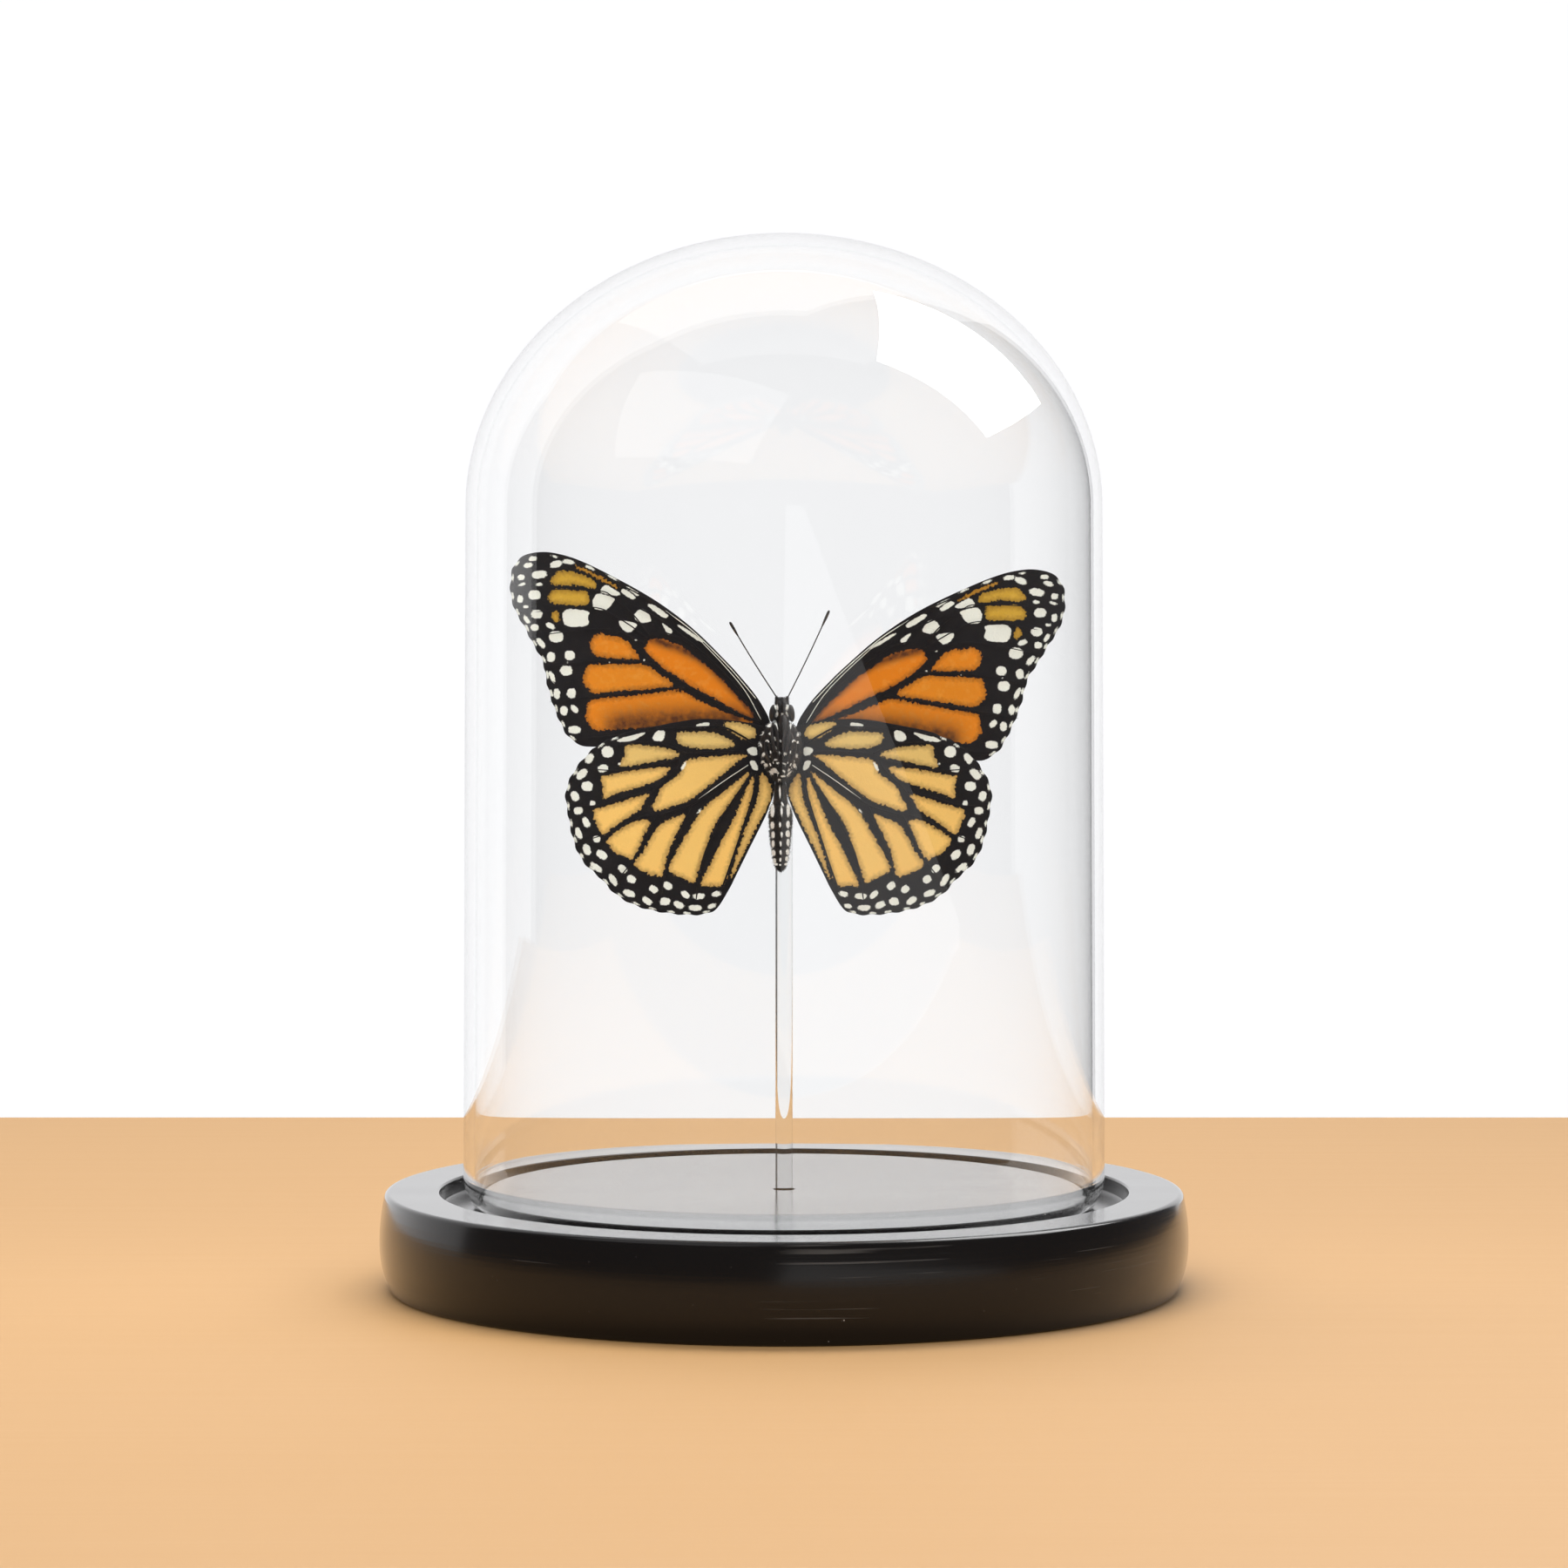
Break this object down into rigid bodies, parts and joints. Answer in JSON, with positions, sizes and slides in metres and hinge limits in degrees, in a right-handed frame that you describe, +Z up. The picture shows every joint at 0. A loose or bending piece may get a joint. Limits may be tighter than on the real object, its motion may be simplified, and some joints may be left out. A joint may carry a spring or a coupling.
{
  "type": "mounted butterfly in a glass dome",
  "caption": "Dried orange and black butterfly, wings spread, fixed to a clear rod on a round black turned wooden base, under a clear glass bell dome.",
  "frame": {"origin": "middle of the flat underside of the base", "axes": "+Z up along the dome's axis; -Y is the front, which the underside of the butterfly faces; +X is the viewer's right"},
  "size_m": [0.14, 0.14, 0.182],
  "materials": {
    "black_paint": "satin black paint on turned wood",
    "dome_glass": "clear, polished",
    "rod_glass": "clear, polished",
    "body_scales": "short black and white scales and hair",
    "leg_shell": "dry black shell",
    "forewing_scales": "matt wing scales, orange with black veins and white spots",
    "hindwing_scales": "matt wing scales, pale orange with black veins and white spots"
  },
  "bodies": {
    "root": {"base": "black_paint", "dome": "dome_glass", "rod": "rod_glass", "thorax": "body_scales", "head": "body_scales", "abdomen": "body_scales", "forewing_left": "forewing_scales", "forewing_right": "forewing_scales", "hindwing_left": "hindwing_scales", "hindwing_right": "hindwing_scales", "antenna_left": "leg_shell", "antenna_right": "leg_shell", "leg_left_1": "leg_shell", "leg_left_2": "leg_shell", "leg_right_1": "leg_shell", "leg_right_2": "leg_shell"}
  },
  "joints": []
}
